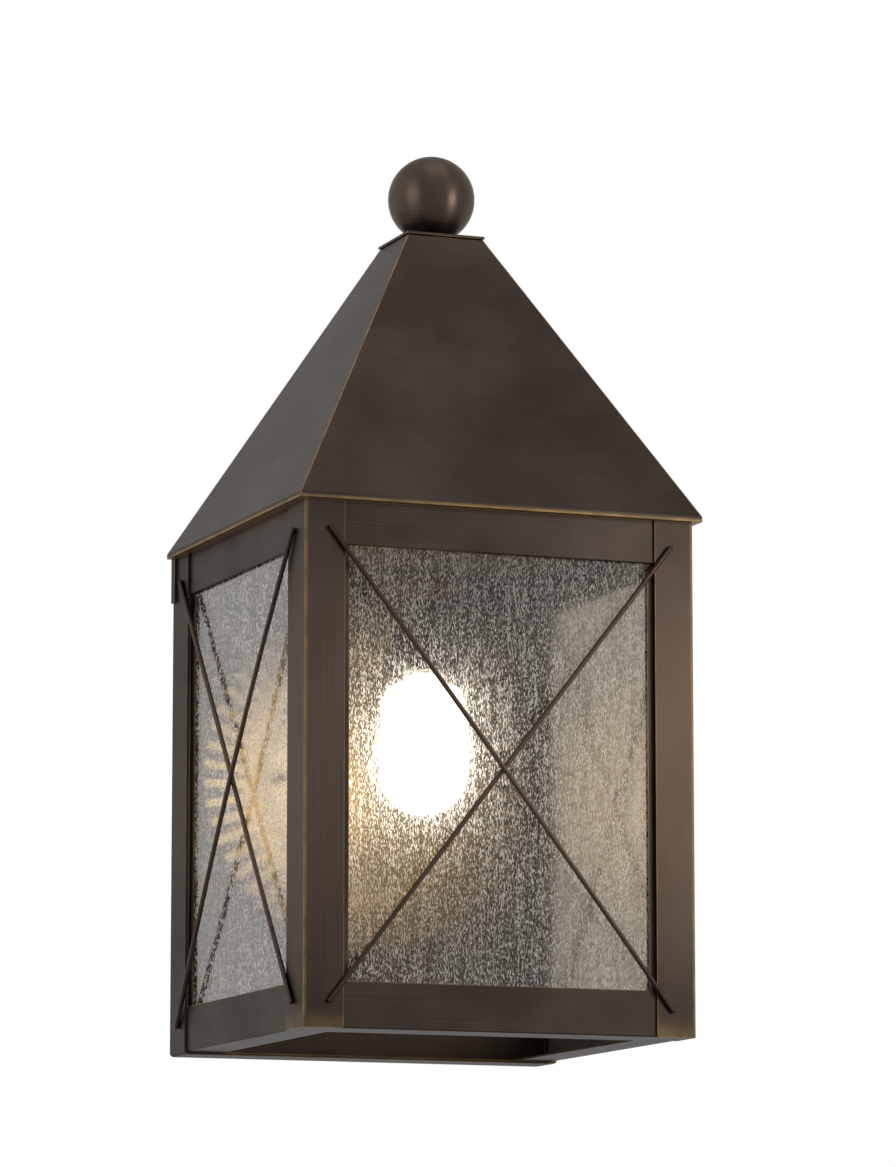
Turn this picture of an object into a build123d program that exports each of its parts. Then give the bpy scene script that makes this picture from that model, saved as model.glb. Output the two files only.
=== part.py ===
from build123d import *
import math
import os

# Open-bottom wall lantern with a pyramid roof, a ball finial and crossed rods over seeded glass.
# Frame: the wall is the plane Y = 0, the front faces -Y, +Z is up, and the origin is the centre
# of the junction box on the wall. Millimetres.

os.makedirs("parts", exist_ok=True)

# Cage
body_width = 254.0
body_depth = 252.0
post_height = 318.3
mount_height = 178.0
sheet = 1.6
fit_gap = 0.1
post_front_leg = 25.5
post_side_leg = 31.0
post_round = 0.8
post_foot_round = 1.5
top_rail_height = 27.0
bottom_rail_height = 28.2
rail_round = 1.0

# Bottom flange
ring_thickness = 1.2
ring_front_width = 33.4
ring_side_width = 26.6
ring_tail = 11.0

# Rear frame and wall cavity
rear_strip_depth = 29.0
rear_drop = 1.75
rear_rail_height = 28.6
rear_rail_return = 7.0
cavity_depth = 12.8
back_sheet = 1.2
rail_end_gap = 0.5

# Ceiling plate
ceiling_thickness = 1.2
lead_hole_radius = 3.0
lead_hole_inset = 7.2

# Roof
roof_sheet = 1.2
eave_overhang = 4.7
eave_lip = 3.2
roof_top_side = 50.0
roof_rise = 187.7
roof_round = 1.0
roof_seam = 0.05
wall_clearance = 0.3
apex_forward = 3.5

# Cap plate and finial
cap_side = 52.4
cap_thickness = 1.6
cap_round = 0.5
ball_radius = 27.6
ball_seat_gap = 0.1
ball_sink = 0.5
stud_radius = 3.0
stud_fit = 0.05
stud_hole_clearance = 0.3
stud_in_ball = 21.0
stud_below_nut = 15.0
finial_nut_flats = 10.0
finial_nut_height = 5.0
washer_radius = 9.0
washer_thickness = 1.0

# Glass and its channels
glass_thickness = 3.0
glass_top_drop = 12.3
channel_width = 8.0
channel_wall = 0.8
channel_reach = 4.0
rear_channel_reach = 6.0

# Crossed rods
rod_radius = 1.5
rod_inset_across = 15.0
rod_inset_along = 17.0
rod_top_inset = 16.0
rod_bottom_inset = 15.0
rod_lap_gap = 0.05
rod_end_round = 1.2

# Lampholder
lamp_forward = 118.0
holder_mouth_drop = 83.3
socket_radius = 17.0
socket_height = 46.0
socket_bore = 14.6
socket_bore_depth = 28.0
socket_bell_radius = 23.5
socket_bell_height = 10.0
socket_bell_start = 27.0
socket_bell_bore = 21.0
socket_bell_bore_depth = 7.0
socket_rim_chamfer = 0.8
socket_shoulder = 4.0
socket_cap_radius = 15.0
socket_cap_height = 7.5
socket_cap_wall = 0.8
canopy_radius = 26.0
canopy_height = 6.0
canopy_wall = 1.0
nipple_radius = 4.8
nipple_bore = 3.4
nipple_above_plate = 9.0
locknut_flats = 14.0
locknut_height = 3.5
shell_wall = 0.5
shell_gap = 0.4
shell_setback = 4.0
contact_radius = 4.5
contact_thickness = 1.0
contact_gap = 0.1
contact_post_radius = 1.5
contact_hole_radius = 6.0

# Lamp
lamp_cap_radius = 13.0
lamp_cap_height = 22.0
lamp_cap_wall = 0.4
lamp_cap_below_mouth = 4.0
insulator_height = 4.0
insulator_base_radius = 11.5
insulator_top_radius = 6.0
tip_radius = 4.5
tip_height = 1.5
globe_radius = 28.0
globe_end_radius = 26.8
globe_side_turn = 4.5
globe_belly_drop = 44.0
globe_shoulder_drop = 7.0
globe_shoulder_radius = 23.5
globe_wall = 1.0
neck_radius = 12.4
neck_length = 1.5
neck_in_cap = 5.0
stem_disc = 1.5
stem_radius = 3.0
stem_length = 40.0
filament_radius = 0.4
filament_span = 18.0
filament_drop = 13.0

# Reflector
reflector_radius = 110.0
reflector_flat = 72.0
reflector_blend = 80.0
reflector_sheet = 1.0
reflector_blend_rise = 1.2
reflector_rim_rise = 6.5
reflector_rim_thickness = 2.2
flute_count = 54
flute_round = 7.3
flute_start = 79.0
flute_depth_start = 0.0
flute_depth_rim = 1.2
seat_gap = 0.05

# Wall strap, screws and leads
strap_end = 7.0
strap_corner = 3.0
strap_width = 19.0
strap_thickness = 2.0
box_slot_spacing = 79.4
box_slot_length = 24.0
box_slot_radius = 2.4
fixture_screw_spacing = 114.0
fixture_screw_radius = 2.0
fixture_screw_length = 20.0
fixture_hole_radius = 2.3
cap_nut_flats = 8.0
cap_nut_height = 4.0
ground_screw_radius = 2.0
ground_head_radius = 3.8
ground_head_height = 2.0
ground_head_lift = 2.4
ground_screw_offset = 10.0
lead_radius = 1.1
lead_spacing = 3.0
lead_arch = 12.5
lead_arch_top = 23.5
lead_hole_rise = 6.5
lead_hole_bend = 12.0
lead_end_height = 14.0
ground_lead_rise = 34.0

# Derived places
half_width = body_width / 2
front_y = -body_depth
base_z = -mount_height
post_top_z = base_z + post_height
rail_outer = half_width - sheet
rail_inner = half_width - 2 * sheet
rear_strip_y = -rear_strip_depth
rear_bend = sheet + rail_round
back_plate_y = -(cavity_depth + back_sheet)
rail_rear_y = back_plate_y - rail_end_gap
ring_top_z = base_z + ring_thickness
ceiling_top_z = post_top_z + ceiling_thickness
eave_z = post_top_z + eave_lip
roof_top_z = eave_z + roof_rise
roof_width = body_width + 2 * eave_overhang
roof_depth = body_depth + eave_overhang - wall_clearance
roof_centre_y = -wall_clearance - roof_depth / 2
apex_y = roof_centre_y - apex_forward
cap_top_z = roof_top_z + cap_thickness
ball_seat_z = cap_top_z + ball_seat_gap
ball_seat_radius = math.sqrt(ball_radius**2 - (ball_radius - ball_sink) ** 2)
ball_z = ball_seat_z + ball_radius - ball_sink
lamp_y = -lamp_forward
mouth_z = post_top_z - holder_mouth_drop
socket_top_z = mouth_z + socket_height
canopy_z = socket_top_z + socket_cap_height
front_glass_y = front_y + 2 * sheet + fit_gap / 2 + channel_wall + fit_gap / 2
side_glass_x = rail_inner - fit_gap / 2 - channel_wall - fit_gap / 2
glass_z = ring_top_z + fit_gap
glass_rise = post_top_z - glass_top_drop - glass_z


# Corner posts: square-cornered angles that stand proud of the rails
with BuildPart() as corner_post_left:
    with BuildSketch(Plane.XY.offset(base_z)):
        with BuildLine():
            Polyline(
                (-half_width, front_y),
                (-half_width + post_front_leg, front_y),
                (-half_width + post_front_leg, front_y + sheet),
                (-half_width + sheet, front_y + sheet),
                (-half_width + sheet, front_y + post_side_leg),
                (-half_width, front_y + post_side_leg),
                close=True,
            )
        make_face()
    extrude(amount=post_height)
    corner_edge = corner_post_left.edges().filter_by(Axis.Z).sort_by(
        lambda e: e.center().X + e.center().Y
    )[0]
    fillet(corner_edge, post_round)
    foot_z = corner_post_left.vertices().group_by(Axis.Z)[0][0].Z
    front_foot = corner_post_left.edges().filter_by(Axis.Y).filter_by(
        lambda e: e.center().Z < foot_z + 0.01 and e.center().X > -half_width + post_front_leg / 2
    )
    side_foot = corner_post_left.edges().filter_by(Axis.X).filter_by(
        lambda e: e.center().Z < foot_z + 0.01 and e.center().Y > front_y + post_side_leg / 2
    )
    fillet(front_foot + side_foot, post_foot_round)

with BuildPart() as corner_post_right:
    mirror(corner_post_left.part, about=Plane.YZ)


# Rails: strips behind the posts, with a rounded lower edge that catches the light
def front_rail(bottom_z, height):
    with BuildPart() as rail:
        with Locations((0, front_y + 1.5 * sheet, bottom_z + height / 2)):
            Box(2 * (rail_outer - fit_gap), sheet, height)
        lower_edge = rail.edges().filter_by(Axis.X).group_by(Axis.Z)[0].sort_by(Axis.Y)[0]
        fillet(lower_edge, rail_round)
    return rail


def left_rail(bottom_z, height):
    start_y = front_y + 2 * sheet + fit_gap
    with BuildPart() as rail:
        with Locations(
            (-half_width + 1.5 * sheet, (start_y + rail_rear_y) / 2, bottom_z + height / 2)
        ):
            Box(sheet, rail_rear_y - start_y, height)
        lower_edge = rail.edges().filter_by(Axis.Y).group_by(Axis.Z)[0].sort_by(Axis.X)[0]
        fillet(lower_edge, rail_round)
    return rail


top_rail_front = front_rail(post_top_z - top_rail_height, top_rail_height)
top_rail_left = left_rail(post_top_z - top_rail_height, top_rail_height)
bottom_rail_front = front_rail(base_z, bottom_rail_height)
bottom_rail_left = left_rail(base_z, bottom_rail_height)

with BuildPart() as top_rail_right:
    mirror(top_rail_left.part, about=Plane.YZ)

with BuildPart() as bottom_rail_right:
    mirror(bottom_rail_left.part, about=Plane.YZ)


# Bottom flange: a flat U that is open towards the wall
with BuildPart() as bottom_ring:
    ring_front_y = front_y + 2 * sheet + fit_gap
    ring_rear_y = rear_strip_y + ring_tail
    ring_half = rail_inner - fit_gap
    hole_half = half_width - ring_side_width
    with BuildSketch(Plane.XY.offset(base_z)):
        with BuildLine():
            Polyline(
                (-ring_half, ring_front_y),
                (ring_half, ring_front_y),
                (ring_half, ring_rear_y),
                (hole_half, ring_rear_y),
                (hole_half, front_y + ring_front_width),
                (-hole_half, front_y + ring_front_width),
                (-hole_half, ring_rear_y),
                (-ring_half, ring_rear_y),
                close=True,
            )
        make_face()
    extrude(amount=ring_thickness)


# Rear frame: one bent strip, two sides and a bottom wall
with BuildPart() as rear_frame:
    with BuildSketch(Plane.XZ):
        with BuildLine():
            Polyline(
                (-half_width, post_top_z),
                (-half_width, base_z - rear_drop),
                (half_width, base_z - rear_drop),
                (half_width, post_top_z),
                (rail_outer, post_top_z),
                (rail_outer, base_z - rear_drop + sheet),
                (-rail_outer, base_z - rear_drop + sheet),
                (-rail_outer, post_top_z),
                close=True,
            )
        make_face()
    extrude(amount=rear_strip_depth)
    bends = rear_frame.edges().filter_by(Axis.Y).group_by(Axis.Z)[0]
    fillet(bends, rear_bend)
    inner_bends = rear_frame.edges().filter_by(Axis.Y).filter_by(
        lambda e: abs(e.center().Z - (base_z - rear_drop + sheet)) < 0.01
        and abs(abs(e.center().X) - rail_outer) < 0.01
    )
    fillet(inner_bends, rear_bend - sheet)
    notch_z = post_top_z - rear_rail_height
    with Locations((0, -sheet / 2, (notch_z + post_top_z) / 2)):
        Box(body_width, sheet, rear_rail_height, mode=Mode.SUBTRACT)

# Strap round the top of the rear frame; its short returns lie outside the side strips
with BuildPart() as rear_top_rail:
    with BuildSketch(Plane.XY.offset(post_top_z - rear_rail_height)):
        with BuildLine():
            Polyline(
                (-half_width - sheet, 0),
                (-half_width - sheet, -rear_rail_return),
                (-half_width, -rear_rail_return),
                (-half_width, -sheet),
                (half_width, -sheet),
                (half_width, -rear_rail_return),
                (half_width + sheet, -rear_rail_return),
                (half_width + sheet, 0),
                close=True,
            )
        make_face()
    extrude(amount=rear_rail_height)

# Sheet across the rear frame, clear of its bends
with BuildPart() as back_plate:
    plate_bottom_z = base_z - rear_drop + rear_bend
    with Locations(
        (0, back_plate_y + back_sheet / 2, (plate_bottom_z + post_top_z - fit_gap) / 2)
    ):
        Box(2 * (rail_outer - fit_gap), back_sheet, post_top_z - fit_gap - plate_bottom_z)
    with BuildSketch(Plane.XZ.offset(-back_plate_y)):
        with GridLocations(fixture_screw_spacing, 0, 2, 1):
            Circle(fixture_hole_radius)
    extrude(amount=-back_sheet, mode=Mode.SUBTRACT)


# Ceiling plate: closes the cage and carries the lampholder
with BuildPart() as ceiling_plate:
    plate_width = roof_width - 2 * roof_sheet - 2 * fit_gap
    plate_depth = roof_depth - 2 * roof_sheet - 2 * fit_gap
    with BuildSketch(Plane.XY.offset(post_top_z)):
        with Locations((0, roof_centre_y)):
            Rectangle(plate_width, plate_depth)
        with Locations((0, lamp_y)):
            Circle(nipple_radius + stud_fit, mode=Mode.SUBTRACT)
        with Locations((0, -lead_hole_inset)):
            Circle(lead_hole_radius, mode=Mode.SUBTRACT)
    extrude(amount=ceiling_thickness)


# Roof: thin pyramid with a flat top, folded down at the eave
def roof_body(inset):
    low_z = post_top_z - 2 * inset
    with BuildPart() as body:
        with BuildSketch(Plane.XZ):
            with BuildLine():
                Polyline(
                    (-roof_width / 2, low_z),
                    (-roof_width / 2, eave_z),
                    (-roof_top_side / 2, roof_top_z),
                    (roof_top_side / 2, roof_top_z),
                    (roof_width / 2, eave_z),
                    (roof_width / 2, low_z),
                    close=True,
                )
            make_face()
            if inset:
                offset(amount=-inset, kind=Kind.INTERSECTION, mode=Mode.REPLACE)
        extrude(amount=body_depth + eave_overhang)
        with BuildSketch(Plane.YZ):
            with BuildLine():
                Polyline(
                    (roof_centre_y - roof_depth / 2, low_z),
                    (roof_centre_y - roof_depth / 2, eave_z),
                    (apex_y - roof_top_side / 2, roof_top_z),
                    (apex_y + roof_top_side / 2, roof_top_z),
                    (roof_centre_y + roof_depth / 2, eave_z),
                    (roof_centre_y + roof_depth / 2, low_z),
                    close=True,
                )
            make_face()
            if inset:
                offset(amount=-inset, kind=Kind.INTERSECTION, mode=Mode.REPLACE)
        extrude(amount=roof_width / 2, both=True, mode=Mode.INTERSECT)
    return body.part


roof_skin = roof_body(0)
roof_hollow = roof_body(roof_sheet)

with BuildPart() as roof:
    add(roof_skin)
    add(roof_hollow, mode=Mode.SUBTRACT)
    with BuildSketch(Plane.XY.offset(roof_top_z)):
        with Locations((0, apex_y)):
            Circle(stud_radius + stud_hole_clearance)
    extrude(amount=-3 * roof_sheet, mode=Mode.SUBTRACT)


# The roof is made of four sheets, mitred and soldered along the hips, and a crown plate on top
def hip_plane(side, end, shift):
    eave = Vector(side * roof_width / 2, roof_centre_y + end * roof_depth / 2, eave_z)
    crown = Vector(side * roof_top_side / 2, apex_y + end * roof_top_side / 2, roof_top_z)
    run_x = roof_width / 2 - roof_top_side / 2
    run_y = abs(eave.Y - crown.Y)
    side_normal = Vector(side * roof_rise, 0, run_x).normalized()
    end_normal = Vector(0, end * roof_rise, run_y).normalized()
    normal = (side_normal - end_normal).normalized()
    return Plane(origin=eave + normal * shift, z_dir=normal)


seam_z = roof_top_z - roof_sheet


def roof_panel(corners, keeps):
    with BuildPart() as panel:
        add(roof.part)
        split(bisect_by=Plane.XY.offset(seam_z - roof_seam), keep=Keep.BOTTOM)
        for (side, end), keep in zip(corners, keeps):
            shift = roof_seam / 2 if keep == Keep.TOP else -roof_seam / 2
            split(bisect_by=hip_plane(side, end, shift), keep=keep)
        eave_edges = panel.edges().filter_by(lambda e: abs(e.center().Z - eave_z) < 0.01)
        fillet(eave_edges.sort_by(SortBy.LENGTH)[-1], roof_round)
    return panel


roof_front = roof_panel(((-1, -1), (1, -1)), (Keep.BOTTOM, Keep.BOTTOM))
roof_rear = roof_panel(((-1, 1), (1, 1)), (Keep.BOTTOM, Keep.BOTTOM))
roof_left = roof_panel(((-1, -1), (-1, 1)), (Keep.TOP, Keep.TOP))

with BuildPart() as roof_right:
    mirror(roof_left.part, about=Plane.YZ)

with BuildPart() as roof_crown:
    add(roof.part)
    split(bisect_by=Plane.XY.offset(seam_z), keep=Keep.TOP)


# Cap plate and ball finial
with BuildPart() as cap_plate:
    with Locations((0, apex_y, roof_top_z + cap_thickness / 2)):
        Box(cap_side, cap_side, cap_thickness)
    fillet(cap_plate.edges().group_by(Axis.Z)[-1], cap_round)
    with BuildSketch(Plane.XY.offset(cap_top_z)):
        with Locations((0, apex_y)):
            Circle(stud_radius + stud_hole_clearance)
    extrude(amount=-2 * cap_thickness, mode=Mode.SUBTRACT)

with BuildPart() as finial_ball:
    with BuildSketch(Plane.XZ.offset(-apex_y)):
        with BuildLine():
            Line((0, ball_z + ball_radius), (0, ball_seat_z))
            Line((0, ball_seat_z), (ball_seat_radius, ball_seat_z))
            ThreePointArc(
                (ball_seat_radius, ball_seat_z),
                (ball_radius, ball_z),
                (0, ball_z + ball_radius),
            )
        make_face()
    revolve(axis=Axis((0, apex_y, 0), (0, 0, 1)))
    with BuildSketch(Plane.XY.offset(ball_seat_z)):
        with Locations((0, apex_y)):
            Circle(stud_radius + stud_fit)
    extrude(amount=stud_in_ball + 1, mode=Mode.SUBTRACT)

finial_nut_top_z = roof_top_z - roof_sheet - washer_thickness
finial_nut_bottom_z = finial_nut_top_z - finial_nut_height

with BuildPart() as finial_washer:
    with BuildSketch(Plane.XY.offset(finial_nut_top_z)):
        with Locations((0, apex_y)):
            Circle(washer_radius)
            Circle(stud_radius + stud_hole_clearance, mode=Mode.SUBTRACT)
    extrude(amount=washer_thickness)

with BuildPart() as finial_nut:
    with BuildSketch(Plane.XY.offset(finial_nut_bottom_z)):
        with Locations((0, apex_y)):
            RegularPolygon(finial_nut_flats / 2, 6, major_radius=False)
            Circle(stud_radius + stud_fit, mode=Mode.SUBTRACT)
    extrude(amount=finial_nut_height)

with BuildPart() as finial_stud:
    stud_bottom_z = finial_nut_bottom_z - stud_below_nut
    with BuildSketch(Plane.XY.offset(stud_bottom_z)):
        with Locations((0, apex_y)):
            Circle(stud_radius)
    extrude(amount=ball_seat_z + stud_in_ball - stud_bottom_z)


# Glass channels: U-sections on the upright edges of each pane
front_channel_x = half_width - post_front_leg - channel_reach
side_front_channel_y = front_y + post_side_leg + channel_reach
side_rear_channel_y = rear_strip_y - rear_channel_reach
channel_depth = 2 * channel_wall + glass_thickness + 2 * (fit_gap / 2)

with BuildPart() as channel_front_left:
    outer_y = front_y + 2 * sheet + fit_gap / 2
    with BuildSketch(Plane.XY.offset(glass_z)):
        with Locations((-front_channel_x, outer_y)):
            Rectangle(channel_width, channel_depth, align=(Align.MAX, Align.MIN))
        with Locations((-front_channel_x, outer_y + channel_wall)):
            Rectangle(
                channel_width - channel_wall,
                channel_depth - 2 * channel_wall,
                align=(Align.MAX, Align.MIN),
                mode=Mode.SUBTRACT,
            )
    extrude(amount=glass_rise)

with BuildPart() as channel_front_right:
    mirror(channel_front_left.part, about=Plane.YZ)

with BuildPart() as channel_left_front:
    outer_x = -(rail_inner - fit_gap / 2)
    with BuildSketch(Plane.XY.offset(glass_z)):
        with Locations((outer_x, side_front_channel_y)):
            Rectangle(channel_depth, channel_width, align=(Align.MIN, Align.MAX))
        with Locations((outer_x + channel_wall, side_front_channel_y)):
            Rectangle(
                channel_depth - 2 * channel_wall,
                channel_width - channel_wall,
                align=(Align.MIN, Align.MAX),
                mode=Mode.SUBTRACT,
            )
    extrude(amount=glass_rise)

with BuildPart() as channel_left_rear:
    with BuildSketch(Plane.XY.offset(glass_z)):
        with Locations((outer_x, side_rear_channel_y)):
            Rectangle(channel_depth, channel_width, align=(Align.MIN, Align.MIN))
        with Locations((outer_x + channel_wall, side_rear_channel_y)):
            Rectangle(
                channel_depth - 2 * channel_wall,
                channel_width - channel_wall,
                align=(Align.MIN, Align.MIN),
                mode=Mode.SUBTRACT,
            )
    extrude(amount=glass_rise)

with BuildPart() as channel_right_front:
    mirror(channel_left_front.part, about=Plane.YZ)

with BuildPart() as channel_right_rear:
    mirror(channel_left_rear.part, about=Plane.YZ)


# Panes: they stand on the bottom flange, in the channels
pane_setback = channel_width - channel_wall - fit_gap
front_pane_half = front_channel_x + pane_setback
side_pane_front_y = side_front_channel_y - pane_setback
side_pane_rear_y = side_rear_channel_y + pane_setback

with BuildPart() as glass_front:
    with Locations((0, front_glass_y + glass_thickness / 2, glass_z + glass_rise / 2)):
        Box(2 * front_pane_half, glass_thickness, glass_rise)

with BuildPart() as glass_left:
    with Locations(
        (
            -(side_glass_x - glass_thickness / 2),
            (side_pane_front_y + side_pane_rear_y) / 2,
            glass_z + glass_rise / 2,
        )
    ):
        Box(glass_thickness, side_pane_rear_y - side_pane_front_y, glass_rise)

with BuildPart() as glass_right:
    mirror(glass_left.part, about=Plane.YZ)


# Crossed rods: one is straight on the post faces, the other is sprung over it
rod_top_z = post_top_z - rod_top_inset
rod_bottom_z = base_z + rod_bottom_inset
rod_mid_z = (rod_top_z + rod_bottom_z) / 2
rod_half = half_width - rod_inset_across
rod_front_y = front_y + rod_inset_along
rod_rear_y = -rod_inset_along
rod_mid_y = (rod_front_y + rod_rear_y) / 2
lap = 2 * rod_radius + rod_lap_gap


def rod(start, middle, end):
    with BuildPart() as bar:
        with BuildLine() as path:
            if middle is None:
                Line(start, end)
            else:
                ThreePointArc(start, middle, end)
        with BuildSketch(Plane(origin=path.line @ 0, z_dir=path.line % 0)):
            Circle(rod_radius)
        sweep()
        fillet(bar.edges().filter_by(GeomType.CIRCLE), rod_end_round)
    return bar


face_y = front_y - rod_radius
rod_front_over = rod(
    (-rod_half, face_y, rod_top_z), (0, face_y - lap, rod_mid_z), (rod_half, face_y, rod_bottom_z)
)
rod_front_under = rod((rod_half, face_y, rod_top_z), None, (-rod_half, face_y, rod_bottom_z))

face_x = -half_width - rod_radius
rod_left_over = rod(
    (face_x, rod_front_y, rod_top_z),
    (face_x - lap, rod_mid_y, rod_mid_z),
    (face_x, rod_rear_y, rod_bottom_z),
)
rod_left_under = rod((face_x, rod_rear_y, rod_top_z), None, (face_x, rod_front_y, rod_bottom_z))

with BuildPart() as rod_right_over:
    mirror(rod_left_over.part, about=Plane.YZ)

with BuildPart() as rod_right_under:
    mirror(rod_left_under.part, about=Plane.YZ)


# Lampholder: hung from the ceiling plate on a threaded tube, mouth down
lamp_plane = Plane.XZ.offset(-lamp_y)
lamp_axis = Axis((0, lamp_y, 0), (0, 0, 1))
nipple_bottom_z = socket_top_z + socket_cap_height / 2
nipple_top_z = ceiling_top_z + nipple_above_plate

with BuildPart() as socket_nipple:
    with BuildSketch(Plane.XY.offset(nipple_bottom_z)):
        with Locations((0, lamp_y)):
            Circle(nipple_radius)
            Circle(nipple_bore, mode=Mode.SUBTRACT)
    extrude(amount=nipple_top_z - nipple_bottom_z)

with BuildPart() as socket_locknuts:
    for nut_z in (post_top_z - locknut_height, ceiling_top_z):
        with BuildSketch(Plane.XY.offset(nut_z)):
            with Locations((0, lamp_y)):
                RegularPolygon(locknut_flats / 2, 6, major_radius=False)
                Circle(nipple_radius + stud_fit, mode=Mode.SUBTRACT)
        extrude(amount=locknut_height)

with BuildPart() as socket_canopy:
    with BuildSketch(lamp_plane):
        with BuildLine():
            Polyline(
                (nipple_radius + stud_fit, canopy_z),
                (canopy_radius, canopy_z),
                (canopy_radius, canopy_z + canopy_height),
                (canopy_radius - canopy_wall, canopy_z + canopy_height),
                (canopy_radius - canopy_wall, canopy_z + canopy_wall),
                (nipple_radius + stud_fit, canopy_z + canopy_wall),
                close=True,
            )
        make_face()
    revolve(axis=lamp_axis)

with BuildPart() as socket_cap:
    with BuildSketch(lamp_plane):
        with BuildLine():
            Polyline(
                (nipple_radius + stud_fit, canopy_z - fit_gap / 2),
                (socket_cap_radius - 2, canopy_z - fit_gap / 2),
                (socket_cap_radius, canopy_z - 3),
                (socket_cap_radius, socket_top_z),
                (socket_cap_radius - socket_cap_wall, socket_top_z),
                (socket_cap_radius - socket_cap_wall, canopy_z - 3 - socket_cap_wall / 2),
                (socket_cap_radius - 2 - socket_cap_wall / 2, canopy_z - fit_gap / 2 - socket_cap_wall),
                (nipple_radius + stud_fit, canopy_z - fit_gap / 2 - socket_cap_wall),
                close=True,
            )
        make_face()
    revolve(axis=lamp_axis)

with BuildPart() as socket_body:
    with BuildSketch(lamp_plane):
        with BuildLine():
            Polyline(
                (0, socket_top_z - fit_gap / 2),
                (socket_cap_radius, socket_top_z - fit_gap / 2),
                (socket_radius, socket_top_z - socket_shoulder),
                (socket_radius, mouth_z + socket_bell_start),
                (socket_bell_radius, mouth_z + socket_bell_height),
                (socket_bell_radius, mouth_z),
                (socket_bell_bore, mouth_z),
                (socket_bell_bore, mouth_z + socket_bell_bore_depth),
                (socket_bore, mouth_z + socket_bell_bore_depth),
                (socket_bore, mouth_z + socket_bore_depth),
                (0, mouth_z + socket_bore_depth),
                close=True,
            )
        make_face()
    revolve(axis=lamp_axis)
    rim = socket_body.edges().filter_by(GeomType.CIRCLE).group_by(Axis.Z)[0]
    chamfer(rim, socket_rim_chamfer)

shell_radius = lamp_cap_radius + shell_gap
shell_top_z = mouth_z + socket_bore_depth - fit_gap

with BuildPart() as socket_screw_shell:
    with BuildSketch(lamp_plane):
        with BuildLine():
            Polyline(
                (shell_radius, mouth_z + shell_setback),
                (shell_radius + shell_wall, mouth_z + shell_setback),
                (shell_radius + shell_wall, shell_top_z),
                (contact_hole_radius, shell_top_z),
                (contact_hole_radius, shell_top_z - shell_wall),
                (shell_radius, shell_top_z - shell_wall),
                close=True,
            )
        make_face()
    revolve(axis=lamp_axis)

# Lamp: it hangs cap-up and screws out downwards
cap_rim_z = mouth_z - lamp_cap_below_mouth
cap_top_z_lamp = cap_rim_z + lamp_cap_height
insulator_top_z = cap_top_z_lamp + insulator_height
tip_top_z = insulator_top_z + tip_height
globe_belly_z = cap_rim_z - globe_belly_drop
neck_top_z = cap_rim_z + neck_in_cap

with BuildPart() as socket_contact:
    contact_z = tip_top_z + contact_gap
    with BuildSketch(Plane.XY.offset(contact_z)):
        with Locations((0, lamp_y)):
            Circle(contact_radius)
    extrude(amount=contact_thickness)
    with BuildSketch(Plane.XY.offset(contact_z)):
        with Locations((0, lamp_y)):
            Circle(contact_post_radius)
    extrude(amount=mouth_z + socket_bore_depth - fit_gap / 2 - contact_z)


# The globe is a frosted tube that widens a little from its round end to the belly and narrows
# again to a shoulder and the neck. The end is a ball, tangent to the side.
def globe_section(wall):
    belly = globe_radius - wall
    shoulder = globe_shoulder_radius - wall
    ball = globe_end_radius - wall
    turn = math.radians(globe_side_turn)
    run = (belly - ball * math.cos(turn)) / math.tan(turn)
    ball_centre_z = globe_belly_z - run + ball * math.sin(turn)
    shoulder_z = cap_rim_z - globe_shoulder_drop - wall
    low = -(math.pi / 2 + turn) / 2
    with BuildSketch(lamp_plane) as section:
        with BuildLine():
            ThreePointArc(
                (0, ball_centre_z - ball),
                (ball * math.cos(low), ball_centre_z + ball * math.sin(low)),
                (ball * math.cos(turn), ball_centre_z - ball * math.sin(turn)),
            )
            Polyline(
                (ball * math.cos(turn), ball_centre_z - ball * math.sin(turn)),
                (belly, globe_belly_z),
                (shoulder, shoulder_z),
                (neck_radius - wall, cap_rim_z - neck_length),
                (neck_radius - wall, neck_top_z),
                (0, neck_top_z),
                (0, ball_centre_z - ball),
            )
        make_face()
    return section.sketch


with BuildPart() as bulb_globe:
    revolve(globe_section(0), axis=lamp_axis)
    revolve(globe_section(globe_wall), axis=lamp_axis, mode=Mode.SUBTRACT)

with BuildPart() as bulb_screw_cap:
    with BuildSketch(lamp_plane):
        with BuildLine():
            Polyline(
                (lamp_cap_radius, cap_rim_z),
                (lamp_cap_radius, cap_top_z_lamp),
                (insulator_top_radius, cap_top_z_lamp),
                (insulator_top_radius, cap_top_z_lamp - lamp_cap_wall),
                (lamp_cap_radius - lamp_cap_wall, cap_top_z_lamp - lamp_cap_wall),
                (lamp_cap_radius - lamp_cap_wall, cap_rim_z),
                close=True,
            )
        make_face()
    revolve(axis=lamp_axis)

with BuildPart() as bulb_insulator:
    with BuildSketch(lamp_plane):
        with BuildLine():
            Polyline(
                (0, cap_top_z_lamp),
                (insulator_base_radius, cap_top_z_lamp),
                (insulator_top_radius, insulator_top_z),
                (0, insulator_top_z),
                close=True,
            )
        make_face()
    revolve(axis=lamp_axis)

with BuildPart() as bulb_tip:
    with BuildSketch(Plane.XY.offset(insulator_top_z)):
        with Locations((0, lamp_y)):
            Circle(tip_radius)
    extrude(amount=tip_height)

with BuildPart() as bulb_stem:
    with BuildSketch(lamp_plane):
        with BuildLine():
            Polyline(
                (0, neck_top_z),
                (neck_radius - globe_wall - fit_gap, neck_top_z),
                (neck_radius - globe_wall - fit_gap, neck_top_z - stem_disc),
                (stem_radius, neck_top_z - 3 * stem_disc),
                (stem_radius, neck_top_z - stem_length),
                (0, neck_top_z - stem_length),
                close=True,
            )
        make_face()
    revolve(axis=lamp_axis)

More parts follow.
